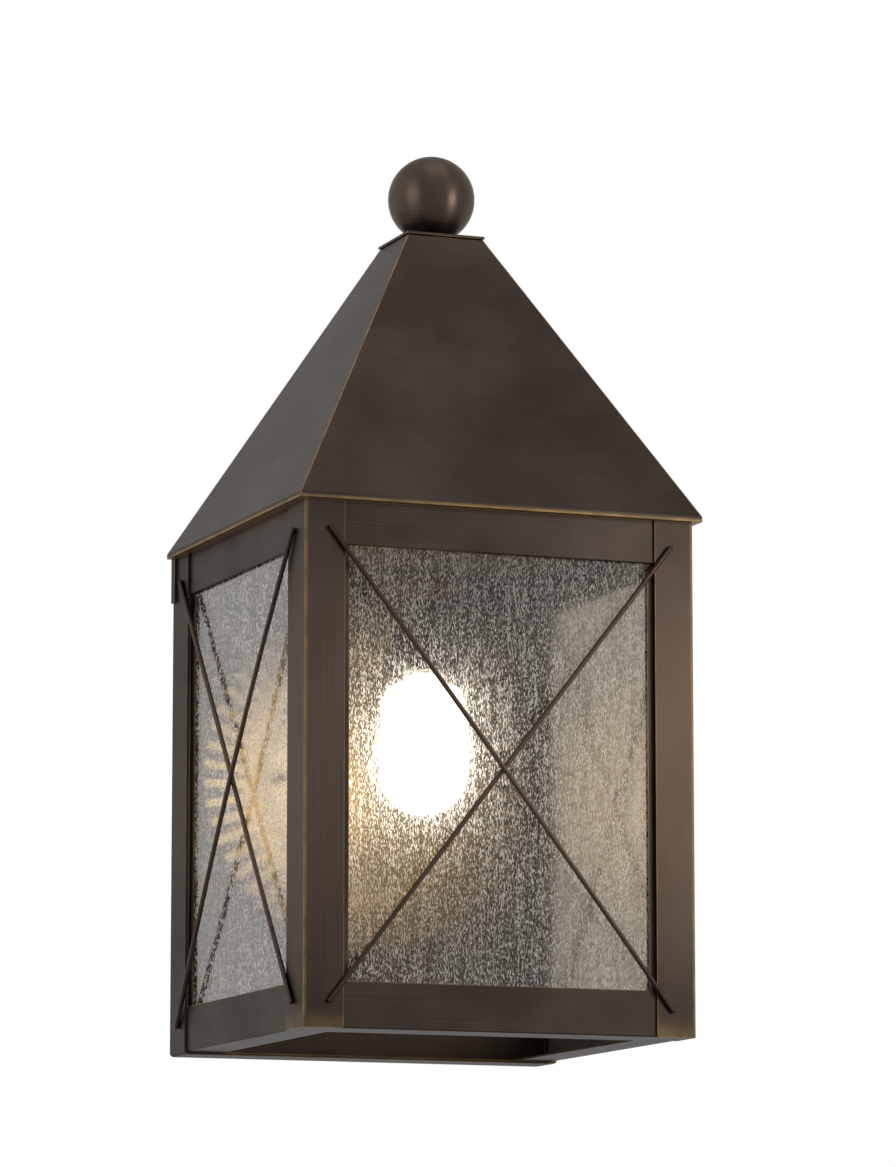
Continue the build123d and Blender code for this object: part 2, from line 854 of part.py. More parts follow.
with BuildPart() as bulb_filament:
    stem_end_z = neck_top_z - stem_length
    with BuildLine() as filament_path:
        Polyline(
            (-stem_radius / 2, lamp_y, stem_end_z - filament_radius),
            (-filament_span / 2, lamp_y, stem_end_z - filament_drop),
            (filament_span / 2, lamp_y, stem_end_z - filament_drop),
            (stem_radius / 2, lamp_y, stem_end_z - filament_radius),
        )
    with BuildSketch(Plane(origin=filament_path.line @ 0, z_dir=filament_path.line % 0)):
        Circle(filament_radius)
    sweep(transition=Transition.RIGHT)


# Reflector: a shallow dish with a fluted rim, drawn with its axis along local Z
dish_back = -back_plate_y + seat_gap
dish_front = dish_back + reflector_sheet
blend_front = dish_front + reflector_blend_rise
rim_front = dish_front + reflector_rim_rise
rim_slope = (rim_front - blend_front) / (reflector_radius - reflector_blend)


def rim_face(radius):
    return blend_front + (radius - reflector_blend) * rim_slope


flute_end = reflector_radius + flute_round
tool_start = (flute_start, 0, rim_face(flute_start) + flute_round - flute_depth_start)
tool_end = (flute_end, 0, rim_face(flute_end) + flute_round - flute_depth_rim)
tool_run = Vector(tool_end) - Vector(tool_start)

with BuildPart() as flute_tool:
    with BuildSketch(Plane(origin=tool_start, z_dir=tool_run)):
        Circle(flute_round)
    extrude(amount=tool_run.length)

with BuildPart(Plane.XZ) as reflector:
    with BuildSketch(Plane.XY):
        with BuildLine():
            Polyline(
                (0, -dish_back),
                (0, -dish_front),
                (reflector_flat, -dish_front),
                (reflector_blend, -blend_front),
                (reflector_radius, -rim_front),
                (reflector_radius, -(rim_front - reflector_rim_thickness)),
                (reflector_blend, -dish_back),
                close=True,
            )
        make_face()
    revolve(axis=Axis.Y)
    with PolarLocations(0, flute_count):
        add(flute_tool.part, mode=Mode.SUBTRACT)
    with GridLocations(fixture_screw_spacing, 0, 2, 1):
        Hole(fixture_hole_radius)


# Wall strap with slots for the junction box, and what fixes the sconce to it
with BuildPart() as wall_strap:
    with Locations((0, -strap_thickness / 2, 0)):
        Box(fixture_screw_spacing + 2 * strap_end, strap_thickness, strap_width)
    with BuildSketch(Plane.XZ):
        with GridLocations(box_slot_spacing, 0, 2, 1):
            SlotOverall(box_slot_length, 2 * box_slot_radius)
        with GridLocations(fixture_screw_spacing, 0, 2, 1):
            Circle(fixture_screw_radius + stud_fit)
        with Locations((ground_screw_offset, 0)):
            Circle(ground_screw_radius + stud_fit)
    extrude(amount=strap_thickness, mode=Mode.SUBTRACT)
    strap_corners = wall_strap.edges().filter_by(Axis.Y).filter_by(
        lambda e: abs(e.center().X) > fixture_screw_spacing / 2 + strap_end - 0.01
    )
    fillet(strap_corners, strap_corner)

with BuildPart(Plane.XZ) as mount_screws:
    with BuildSketch(Plane.XZ):
        with GridLocations(fixture_screw_spacing, 0, 2, 1):
            Circle(fixture_screw_radius)
    extrude(amount=fixture_screw_length)

with BuildPart() as cap_nuts:
    nut_seat = dish_front + seat_gap
    with BuildSketch(Plane.XZ.offset(nut_seat)):
        with GridLocations(fixture_screw_spacing, 0, 2, 1):
            RegularPolygon(cap_nut_flats / 2, 6, major_radius=False)
    extrude(amount=cap_nut_height)
    for side in (-1, 1):
        with Locations((side * fixture_screw_spacing / 2, -(nut_seat + cap_nut_height), 0)):
            Sphere(cap_nut_flats / 2 - 0.2)
    with BuildSketch(Plane.XZ.offset(nut_seat)):
        with GridLocations(fixture_screw_spacing, 0, 2, 1):
            Circle(fixture_screw_radius + stud_fit)
    extrude(amount=fixture_screw_length - nut_seat + 0.5, mode=Mode.SUBTRACT)

with BuildPart() as ground_screw:
    with BuildSketch(Plane.XZ):
        with Locations((ground_screw_offset, 0)):
            Circle(ground_screw_radius)
    extrude(amount=strap_thickness + ground_head_lift)
    with BuildSketch(Plane.XZ.offset(strap_thickness + ground_head_lift)):
        with Locations((ground_screw_offset, 0)):
            Circle(ground_head_radius)
    extrude(amount=ground_head_height)


# Leads: up the threaded tube, over the ceiling plate and down the wall cavity to the box
def bend_radii(points):
    radii = []
    for before, corner, after in zip(points, points[1:], points[2:]):
        run_in = Vector(corner) - Vector(before)
        run_out = Vector(after) - Vector(corner)
        half_turn = math.radians(run_in.get_angle(run_out)) / 2
        radii.append(0.45 * min(run_in.length, run_out.length) / math.tan(half_turn))
    return radii


def tube(points, radii, radius, name):
    with BuildPart() as wire:
        with BuildLine() as path:
            FilletPolyline(*points, radius=radii)
        with BuildSketch(Plane(origin=path.line @ 0, z_dir=path.line % 0)):
            Circle(radius)
        sweep()
    print(name, "radii", [round(r, 1) for r in radii])
    print(name, "volume", round(wire.part.volume, 1))
    length = sum(edge.length for edge in path.edges())
    print(name, "section times length", round(math.pi * radius**2 * length, 1))
    return wire


lead_hole_y = -lead_hole_inset


def lead(x, name):
    points = [
        (x, lamp_y, socket_top_z + fit_gap),
        (x, lamp_y, nipple_top_z + lead_arch),
        (x, lamp_y * 0.73, nipple_top_z + lead_arch_top),
        (x, lamp_y * 0.42, ceiling_top_z + lead_arch),
        (x, lead_hole_y, ceiling_top_z + lead_hole_rise),
        (x, lead_hole_y, lead_end_height),
    ]
    radii = bend_radii(points)
    radii[3] = lead_hole_bend
    return tube(points, radii, lead_radius, name)


lead_black = lead(-lead_spacing / 2, "lead_black")
lead_white = lead(lead_spacing / 2, "lead_white")

ground_x = ground_screw_offset + ground_screw_radius + lead_radius + fit_gap
ground_y = -(strap_thickness + lead_radius + seat_gap)
ground_points = [
    (ground_x, ground_y, -ground_screw_radius),
    (ground_x, ground_y, ground_lead_rise / 2),
    (ground_x - lead_spacing, lead_hole_y, ground_lead_rise),
]
ground_wire = tube(ground_points, bend_radii(ground_points), lead_radius, "ground_wire")


# Names and files
corner_post_left.part.label = "corner_post_left"
corner_post_right.part.label = "corner_post_right"
top_rail_front.part.label = "top_rail_front"
top_rail_left.part.label = "top_rail_left"
top_rail_right.part.label = "top_rail_right"
bottom_rail_front.part.label = "bottom_rail_front"
bottom_rail_left.part.label = "bottom_rail_left"
bottom_rail_right.part.label = "bottom_rail_right"
bottom_ring.part.label = "bottom_ring"
rear_frame.part.label = "rear_frame"
rear_top_rail.part.label = "rear_top_rail"
back_plate.part.label = "back_plate"
ceiling_plate.part.label = "ceiling_plate"
roof_front.part.label = "roof_front"
roof_left.part.label = "roof_left"
roof_right.part.label = "roof_right"
roof_rear.part.label = "roof_rear"
roof_crown.part.label = "roof_crown"
cap_plate.part.label = "cap_plate"
finial_ball.part.label = "finial_ball"
finial_stud.part.label = "finial_stud"
finial_nut.part.label = "finial_nut"
finial_washer.part.label = "finial_washer"
channel_front_left.part.label = "channel_front_left"
channel_front_right.part.label = "channel_front_right"
channel_left_front.part.label = "channel_left_front"
channel_left_rear.part.label = "channel_left_rear"
channel_right_front.part.label = "channel_right_front"
channel_right_rear.part.label = "channel_right_rear"
glass_front.part.label = "glass_front"
glass_left.part.label = "glass_left"
glass_right.part.label = "glass_right"
rod_front_over.part.label = "rod_front_over"
rod_front_under.part.label = "rod_front_under"
rod_left_over.part.label = "rod_left_over"
rod_left_under.part.label = "rod_left_under"
rod_right_over.part.label = "rod_right_over"
rod_right_under.part.label = "rod_right_under"
socket_nipple.part.label = "socket_nipple"
socket_locknuts.part.label = "socket_locknuts"
socket_canopy.part.label = "socket_canopy"
socket_cap.part.label = "socket_cap"
socket_body.part.label = "socket_body"
socket_screw_shell.part.label = "socket_screw_shell"
socket_contact.part.label = "socket_contact"
bulb_globe.part.label = "bulb_globe"
bulb_screw_cap.part.label = "bulb_screw_cap"
bulb_insulator.part.label = "bulb_insulator"
bulb_tip.part.label = "bulb_tip"
bulb_stem.part.label = "bulb_stem"
bulb_filament.part.label = "bulb_filament"
reflector.part.label = "reflector"
wall_strap.part.label = "wall_strap"
mount_screws.part.label = "mount_screws"
cap_nuts.part.label = "cap_nuts"
ground_screw.part.label = "ground_screw"
lead_black.part.label = "lead_black"
lead_white.part.label = "lead_white"
ground_wire.part.label = "ground_wire"

for piece in (
    corner_post_left,
    corner_post_right,
    top_rail_front,
    top_rail_left,
    top_rail_right,
    bottom_rail_front,
    bottom_rail_left,
    bottom_rail_right,
    bottom_ring,
    rear_frame,
    rear_top_rail,
    back_plate,
    ceiling_plate,
    roof_front,
    roof_left,
    roof_right,
    roof_rear,
    roof_crown,
    cap_plate,
    finial_ball,
    finial_stud,
    finial_nut,
    finial_washer,
    channel_front_left,
    channel_front_right,
    channel_left_front,
    channel_left_rear,
    channel_right_front,
    channel_right_rear,
    glass_front,
    glass_left,
    glass_right,
    rod_front_over,
    rod_front_under,
    rod_left_over,
    rod_left_under,
    rod_right_over,
    rod_right_under,
    socket_nipple,
    socket_locknuts,
    socket_canopy,
    socket_cap,
    socket_body,
    socket_screw_shell,
    socket_contact,
    bulb_globe,
    bulb_screw_cap,
    bulb_insulator,
    bulb_tip,
    bulb_stem,
    bulb_filament,
    reflector,
    wall_strap,
    mount_screws,
    cap_nuts,
    ground_screw,
    lead_black,
    lead_white,
    ground_wire,
):
    export_step(piece.part, "parts/" + piece.part.label + ".step")
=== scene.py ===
import math

import bpy
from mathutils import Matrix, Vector


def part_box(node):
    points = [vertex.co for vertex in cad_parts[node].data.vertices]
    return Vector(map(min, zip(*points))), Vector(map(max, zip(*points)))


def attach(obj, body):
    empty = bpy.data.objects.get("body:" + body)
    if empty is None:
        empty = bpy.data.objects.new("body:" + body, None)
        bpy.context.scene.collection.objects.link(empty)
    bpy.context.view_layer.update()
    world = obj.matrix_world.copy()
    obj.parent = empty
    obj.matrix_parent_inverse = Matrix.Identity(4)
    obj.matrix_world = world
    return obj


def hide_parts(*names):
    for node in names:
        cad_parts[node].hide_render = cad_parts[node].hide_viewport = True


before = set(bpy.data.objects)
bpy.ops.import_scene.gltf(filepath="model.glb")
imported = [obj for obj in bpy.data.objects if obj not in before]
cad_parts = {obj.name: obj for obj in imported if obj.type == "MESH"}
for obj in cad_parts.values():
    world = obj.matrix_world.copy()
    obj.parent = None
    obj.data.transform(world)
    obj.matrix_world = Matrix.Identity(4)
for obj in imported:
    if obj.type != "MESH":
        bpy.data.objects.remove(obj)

bl_info = {
    "name": "Wall lantern with crossed rods",
    "version": (1, 0, 0),
    "blender": (4, 5, 0),
    "location": "View3D > Sidebar > Lantern",
    "description": "Finishes and details of a bronze wall lantern with seeded glass, and its studio",
    "category": "Object",
}

# Millimetres are written as MM, because Blender works in metres
MM = 0.001

# Nodes of the model that share a finish
ROOF_PANELS = ("roof_front", "roof_rear", "roof_crown")
ROOF_SIDE_PANELS = ("roof_left", "roof_right")
LEVEL_SHEETS = ("top_rail_front", "bottom_rail_front", "cap_plate", "rear_top_rail")
SIDE_SHEETS = (
    "top_rail_left",
    "top_rail_right",
    "bottom_rail_left",
    "bottom_rail_right",
    "bottom_ring",
)
POSTS = ("corner_post_left", "corner_post_right")
REAR_SHEETS = ("rear_frame", "back_plate")
RODS = (
    "rod_front_over",
    "rod_front_under",
    "rod_left_over",
    "rod_left_under",
    "rod_right_over",
    "rod_right_under",
)
CHANNELS = (
    "channel_front_left",
    "channel_front_right",
    "channel_left_front",
    "channel_left_rear",
    "channel_right_front",
    "channel_right_rear",
)
PANES = ("glass_front", "glass_left", "glass_right")
PLATED_PARTS = ("wall_strap", "mount_screws", "finial_nut", "finial_washer")

# Flutes round the rim of the reflector, and the radius at which they start, as in the CAD
FLUTES = 54
FLUTE_START = 79 * MM

# Height of the middle of the lighter, warmer band on posts and rods, and its reach each way: a painted
# highlight of the soft box, which also stands for rubbing by hands
LIT_BAND_HEIGHT = -0.01
LIT_BAND_REACH = 0.13

# Relief of the brushed lines and skins, and of the seeds in the glass
SKIN_RELIEF = 0.05 * MM
SEED_RELIEF = 0.03 * MM

# Threads of the finial's stud and of the lamp's cap: pitch and height of the ridge
STUD_PITCH = 1.0 * MM
STUD_RIDGE = 0.35 * MM
CAP_PITCH = 3.63 * MM
CAP_RIDGE = 0.9 * MM

# Hollow in the foot of the ball: rim of its seat and depth
BALL_SEAT = 1.6 * MM
BALL_HOLLOW = 20 * MM

# The camera of the photograph: place in metres, lens in millimetres, tilt and turn in degrees
CAMERA_PLACE = (-1.19465, -3.24149, -0.41482)
CAMERA_LENS = 165.2
CAMERA_TILT = 99.0
CAMERA_TURN = -21.2

# Rings of the lamp's globe from its round end up to the neck: radius and height in millimetres
GLOBE_RINGS = (
    (1.5, 0.04),
    (4.7, 0.42),
    (7.8, 1.17),
    (10.8, 2.27),
    (13.6, 3.71),
    (16.2, 5.46),
    (18.6, 7.51),
    (20.8, 9.9),
    (22.7, 12.6),
    (24.3, 15.5),
    (25.5, 18.6),
    (26.3, 21.7),
    (26.8, 24.9),
    (27.2, 29.0),
    (27.6, 34.0),
    (27.9, 38.5),
    (27.9, 43.0),
    (27.5, 49.0),
    (26.9, 56.0),
    (26.1, 63.0),
    (25.2, 70.0),
    (24.2, 75.5),
    (22.6, 78.9),
    (19.6, 81.2),
    (15.8, 82.7),
    (13.0, 83.7),
    (12.2, 85.2),
    (12.2, 89.9),
)


class LanternColours(bpy.types.PropertyGroup):
    bronze: bpy.props.StringProperty(
        name="Bronze", description="Dark rubbed bronze of the sheets", default="#4e443c"
    )
    bronze_shade: bpy.props.StringProperty(
        name="Bronze shade", description="Darker clouds in the bronze", default="#3b322c"
    )
    # Colour of the lighter middle band of posts and rods: a painted highlight, which also stands for rubbing
    # by hands
    bronze_lit_band: bpy.props.StringProperty(
        name="Rubbed bronze", description="Warm middle of the posts, rubbed by hand", default="#6a5749"
    )
    bronze_turned: bpy.props.StringProperty(
        name="Turned bronze", description="Polished bronze of the ball", default="#62554a"
    )
    # Golden colour of the worn edges, which also paints the highlight that the edges catch
    bronze_worn_and_lit: bpy.props.StringProperty(
        name="Worn bronze", description="Golden metal on the rubbed edges", default="#9c8056"
    )
    glass_tint: bpy.props.StringProperty(
        name="Glass tint", description="Clear and pale parts of the panes", default="#fbf6ed"
    )
    # Dark tint between the pale seeds: painted shade
    glass_painted_shade: bpy.props.StringProperty(
        name="Glass shade", description="Dark sides of the seeds in the panes", default="#8a8175"
    )
    lamp_light: bpy.props.StringProperty(
        name="Lamp light", description="Colour of the lit lamp", default="#fffaf2"
    )
    reflector: bpy.props.StringProperty(
        name="Reflector", description="Brass of the fluted reflector", default="#ad9870"
    )
    holder: bpy.props.StringProperty(
        name="Lampholder", description="Coppery brass of the lampholder", default="#a0694a"
    )


class LanternSizes(bpy.types.PropertyGroup):
    brush_line: bpy.props.FloatProperty(
        name="Brush line", description="Width of one brushed line", default=0.35 * MM, unit="LENGTH"
    )
    # Width of the golden band on an edge: worn metal, and partly a painted highlight
    edge_wear_and_highlight: bpy.props.FloatProperty(
        name="Edge wear", description="Width of the rubbed band on an edge", default=0.9 * MM, unit="LENGTH"
    )
    seed_width: bpy.props.FloatProperty(
        name="Seed width", description="Width of one seed in the glass", default=0.52 * MM, unit="LENGTH"
    )
    seed_length: bpy.props.FloatProperty(
        name="Seed length", description="Upright length of one seed", default=2.1 * MM, unit="LENGTH"
    )
    lamp_strength: bpy.props.FloatProperty(
        name="Lamp strength", description="Brightness of the lit lamp", default=9.5, min=0.0
    )


def colour(text):
    """sRGB hex to the linear colour that Blender's sockets take."""
    parts = []
    for start in (1, 3, 5):
        value = int(text[start : start + 2], 16) / 255
        parts.append(value / 12.92 if value <= 0.04045 else ((value + 0.055) / 1.055) ** 2.4)
    return (*parts, 1.0)


def add(tree, kind, inputs=None, **settings):
    """One node, with its settings, its values and the sockets that it is linked to."""
    made = tree.nodes.new(kind)
    for name, value in settings.items():
        setattr(made, name, value)
    for name, value in (inputs or {}).items():
        socket = made.inputs[name]
        if isinstance(value, bpy.types.NodeSocket):
            tree.links.new(value, socket)
        else:
            socket.default_value = value
    return made


def new_material(name):
    made = bpy.data.materials.new(name)
    made.use_nodes = True
    made.node_tree.nodes.clear()
    return made, made.node_tree


def wear(node_names, material):
    for name in node_names:
        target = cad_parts[name]
        target.data.materials.clear()
        target.data.materials.append(material)


def dress(piece, material, body, node):
    """Finish of a new piece, the body that it rides on and the node that it stands for."""
    if not piece.data.polygons:
        raise RuntimeError("no faces were made for " + piece.name)
    piece.data.materials.clear()
    piece.data.materials.append(material)
    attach(piece, body)
    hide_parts(node)


def settle(piece, angle):
    """Puts the place of a new piece into its mesh, and smooths its faces below an angle in degrees."""
    bpy.ops.object.select_all(action="DESELECT")
    piece.select_set(True)
    bpy.context.view_layer.objects.active = piece
    bpy.ops.object.transform_apply(location=True, rotation=True, scale=True)
    bpy.ops.object.shade_smooth_by_angle(angle=math.radians(angle))


def drawn_up(name, centre, foot, rings, sides):
    """A closed round shape drawn up ring by ring from a disc; its rings are in millimetres."""
    radius = rings[0][0] * MM
    height = foot + rings[0][1] * MM
    bpy.ops.object.select_all(action="DESELECT")
    bpy.ops.mesh.primitive_circle_add(
        vertices=sides, radius=radius, fill_type="TRIFAN", location=(centre.x, centre.y, height)
    )
    made = bpy.context.object
    made.name = name
    bpy.ops.object.mode_set(mode="EDIT")
    bpy.ops.mesh.select_mode(type="EDGE")
    bpy.ops.mesh.select_all(action="DESELECT")
    bpy.ops.mesh.select_non_manifold()
    for ring in rings[1:]:
        next_radius = ring[0] * MM
        next_height = foot + ring[1] * MM
        bpy.ops.mesh.extrude_edges_move(
            TRANSFORM_OT_translate={"value": (0, 0, next_height - height)}
        )
        across = next_radius / radius
        bpy.ops.transform.resize(
            value=(across, across, 1), center_override=(centre.x, centre.y, next_height)
        )
        radius = next_radius
        height = next_height
    bpy.ops.mesh.edge_face_add()
    bpy.ops.mesh.select_all(action="SELECT")
    bpy.ops.mesh.normals_make_consistent(inside=False)
    bpy.ops.object.mode_set(mode="OBJECT")
    return made


def threaded_bar(name, low, high, pitch, ridge):
    """A round bar with one rolled ridge wound up it, between the corners of the node's box."""
    centre = (low + high) / 2
    crest = (high.x - low.x) / 2
    core = crest - ridge
    tall = (high.z - low.z) / MM
    rings = (
        (core / MM * 0.5, 0.0),
        (core / MM - 0.4, 0.0),
        (core / MM, 0.4),
        (core / MM, tall - 0.4),
        (core / MM - 0.4, tall),
    )
    bar = drawn_up(name, centre, low.z, rings, 48)
    bpy.ops.object.select_all(action="DESELECT")
    foot = (centre.x, centre.y, low.z + ridge)
    bpy.ops.mesh.primitive_circle_add(vertices=10, radius=ridge, location=foot)
    wound = bpy.context.object
    bpy.ops.object.mode_set(mode="EDIT")
    bpy.ops.mesh.select_all(action="SELECT")
    bpy.ops.transform.rotate(value=math.pi / 2, orient_axis="X", center_override=foot)
    bpy.ops.transform.translate(value=(core, 0, 0))
    bpy.ops.object.mode_set(mode="OBJECT")
    screw = wound.modifiers.new("screw", "SCREW")
    screw.screw_offset = pitch
    screw.iterations = int((high.z - low.z - 2 * ridge) / pitch)
    screw.steps = 24
    screw.render_steps = 24
    bpy.ops.object.modifier_apply(modifier=screw.name)
    bpy.ops.object.mode_set(mode="EDIT")
    bpy.ops.mesh.select_all(action="SELECT")
    bpy.ops.mesh.fill_holes(sides=12)
    bpy.ops.mesh.select_all(action="SELECT")
    bpy.ops.mesh.normals_make_consistent(inside=False)
    bpy.ops.object.mode_set(mode="OBJECT")
    settle(wound, 50)
    settle(bar, 50)
    wound.select_set(True)
    bpy.ops.object.join()
    return bar


def eave_wear_and_highlight(tree, place):
    """The folded eave, a round edge: a golden band where the panel turns, which is a painted highlight and
    also stands for wear by the hand.
    """
    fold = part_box("roof_front")[0].z
    height = add(tree, "ShaderNodeSeparateXYZ", {"Vector": place}).outputs["Z"]
    above = add(tree, "ShaderNodeMath", {0: height, 1: fold}, operation="SUBTRACT").outputs["Value"]
    return add(
        tree,
        "ShaderNodeMapRange",
        {"Value": above, "From Min": 0.8 * MM, "From Max": 2.2 * MM, "To Min": 0.7, "To Max": 0.0},
    ).outputs["Result"]


def post_wear_and_highlight(tree, place):
    """The bent corner of a post, worn and given a painted highlight, and the worn foot of the post."""
    low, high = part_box("corner_post_left")
    parts = add(tree, "ShaderNodeSeparateXYZ", {"Vector": place})
    aside = add(tree, "ShaderNodeMath", {0: parts.outputs["X"]}, operation="ABSOLUTE").outputs["Value"]
    side_run = add(
        tree, "ShaderNodeMath", {0: aside, 1: low.x + 2.2 * MM}, operation="ADD"
    ).outputs["Value"]
    front_run = add(
        tree, "ShaderNodeMath", {0: low.y + 2.2 * MM, 1: parts.outputs["Y"]}, operation="SUBTRACT"
    ).outputs["Value"]
    corner = add(
        tree, "ShaderNodeMath", {0: side_run, 1: front_run}, operation="MINIMUM"
    ).outputs["Value"]
    # Golden line along the bent corner: wear, and partly a painted highlight
    bend_wear_and_highlight = add(
        tree,
        "ShaderNodeMapRange",
        {"Value": corner, "From Min": 0.0, "From Max": 1.2 * MM, "To Min": 0.0, "To Max": 0.5},
    ).outputs["Result"]
    foot = add(
        tree,
        "ShaderNodeMapRange",
        {
            "Value": parts.outputs["Z"],
            "From Min": low.z,
            "From Max": low.z + 13 * MM,
            "To Min": 0.3,
            "To Max": 0.0,
        },
        interpolation_type="SMOOTHSTEP",
    ).outputs["Result"]
    return add(tree, "ShaderNodeMath", {0: bend_wear_and_highlight, 1: foot}, operation="MAXIMUM").outputs["Value"]


# The rubbed argument sets how strong the lighter middle band is: a painted highlight, which also stands for
# rubbing by hands
def rubbed_bronze(name, grain, rubbed, worn_and_lit, gloss_low, settings, colours, turned=0.0):
    """Oil-rubbed bronze: brown lacquered brass, brushed one way, rubbed back to gold on its edges, gold that
    is partly a painted highlight; its lighter middle band is a painted highlight that also stands for
    rubbing by hands.
    """
    made, tree = new_material(name)
    plain = colour(colours.bronze_turned if turned else colours.bronze)
    place = add(tree, "ShaderNodeTexCoord").outputs["Object"]
    line = 1 / settings.brush_line
    along = 1 / (90 * MM)
    scale = {
        "X": (along, line, line),
        "Y": (line, along, line),
        "Z": (line, line, along),
        "XY": (along, along, line),
    }[grain]
    brushed = add(tree, "ShaderNodeMapping", {"Vector": place, "Scale": scale}).outputs["Vector"]
    lines = add(
        tree,
        "ShaderNodeTexNoise",
        {"Vector": brushed, "Scale": 1.0, "Detail": 2.0, "Roughness": 0.6},
    ).outputs["Fac"]
    clouds = add(
        tree,
        "ShaderNodeTexNoise",
        {"Vector": place, "Scale": 1 / (70 * MM), "Detail": 3.0, "Roughness": 0.55},
    ).outputs["Fac"]
    shade = add(
        tree,
        "ShaderNodeMapRange",
        {"Value": clouds, "From Min": 0.35, "From Max": 0.65, "To Min": 0.0, "To Max": 0.8},
    ).outputs["Result"]
    body = add(
        tree,
        "ShaderNodeMix",
        {"Factor": shade, "A": plain, "B": colour(colours.bronze_shade)},
        data_type="RGBA",
    ).outputs["Result"]
    streak = add(
        tree,
        "ShaderNodeMapRange",
        {"Value": lines, "From Min": 0.3, "From Max": 0.7, "To Min": 0.8, "To Max": 1.14},
    ).outputs["Result"]
    # Painted highlight: a lighter, warmer band round the middle height, which also stands for rubbing by
    # hands
    height = add(tree, "ShaderNodeSeparateXYZ", {"Vector": place}).outputs["Z"]
    from_middle = add(
        tree, "ShaderNodeMath", {0: height, 1: LIT_BAND_HEIGHT}, operation="SUBTRACT"
    ).outputs["Value"]
    away = add(tree, "ShaderNodeMath", {0: from_middle}, operation="ABSOLUTE").outputs["Value"]
    ragged = add(
        tree, "ShaderNodeMath", {0: clouds, 1: -0.06, 2: away}, operation="MULTIPLY_ADD"
    ).outputs["Value"]
    lit_and_handled_band = add(
        tree,
        "ShaderNodeMapRange",
        {
            "Value": ragged,
            "From Min": 0.0,
            "From Max": LIT_BAND_REACH,
            "To Min": rubbed,
            "To Max": 0.0,
        },
        interpolation_type="SMOOTHSTEP",
    ).outputs["Result"]
    lit_band_body = add(
        tree,
        "ShaderNodeMix",
        {"Factor": lit_and_handled_band, "A": body, "B": colour(colours.bronze_lit_band)},
        data_type="RGBA",
    ).outputs["Result"]
    streaked = add(
        tree,
        "ShaderNodeMix",
        {"Factor": 1.0, "A": lit_band_body, "B": streak},
        data_type="RGBA",
        blend_type="MULTIPLY",
    ).outputs["Result"]
    # Edges painted golden: real wear, and partly a painted highlight along them
    rounded = add(tree, "ShaderNodeBevel", {"Radius": settings.edge_wear_and_highlight}, samples=6).outputs["Normal"]
    flat = add(tree, "ShaderNodeNewGeometry").outputs["Normal"]
    same = add(
        tree, "ShaderNodeVectorMath", {0: rounded, 1: flat}, operation="DOT_PRODUCT"
    ).outputs["Value"]
    edge = add(
        tree,
        "ShaderNodeMapRange",
        {"Value": same, "From Min": 0.995, "From Max": 0.88, "To Min": 0.0, "To Max": 1.0},
    ).outputs["Result"]
    patchy = add(
        tree,
        "ShaderNodeTexNoise",
        {"Vector": place, "Scale": 1 / (14 * MM), "Detail": 2.0},
    ).outputs["Fac"]
    patch = add(
        tree,
        "ShaderNodeMapRange",
        {"Value": patchy, "From Min": 0.35, "From Max": 0.6, "To Min": 0.5, "To Max": 1.0},
    ).outputs["Result"]
    # Golden bands on the eave fold and the post corners: wear, and partly a painted highlight
    folded = worn_and_lit(tree, place) if worn_and_lit else 0.0
    edges = add(tree, "ShaderNodeMath", {0: edge, 1: folded}, operation="MAXIMUM").outputs["Value"]
    wear_and_highlight = add(tree, "ShaderNodeMath", {0: edges, 1: patch}, operation="MULTIPLY").outputs["Value"]
    metal = add(
        tree,
        "ShaderNodeMix",
        {"Factor": wear_and_highlight, "A": streaked, "B": colour(colours.bronze_worn_and_lit)},
        data_type="RGBA",
    ).outputs["Result"]
    gloss = add(
        tree,
        "ShaderNodeMapRange",
        {
            "Value": lines,
            "From Min": 0.3,
            "From Max": 0.7,
            "To Min": gloss_low,
            "To Max": gloss_low + 0.12,
        },
    ).outputs["Result"]
    bump = add(
        tree,
        "ShaderNodeBump",
        {"Height": lines, "Strength": 0.12, "Distance": SKIN_RELIEF},
    ).outputs["Normal"]
    shader = add(
        tree,
        "ShaderNodeBsdfPrincipled",
        {
            "Base Color": metal,
            "Roughness": gloss,
            "Normal": bump,
            "Metallic": 0.96,
            "Specular Tint": (0.62, 0.62, 0.62, 1.0),
            "Anisotropic": turned,
            "Anisotropic Rotation": 0.25,
        },
    )
    if turned:
        round_axis = add(tree, "ShaderNodeTangent", direction_type="RADIAL", axis="Z")
        tree.links.new(round_axis.outputs["Tangent"], shader.inputs["Tangent"])
    add(tree, "ShaderNodeOutputMaterial", {"Surface": shader.outputs["BSDF"]})
    return made


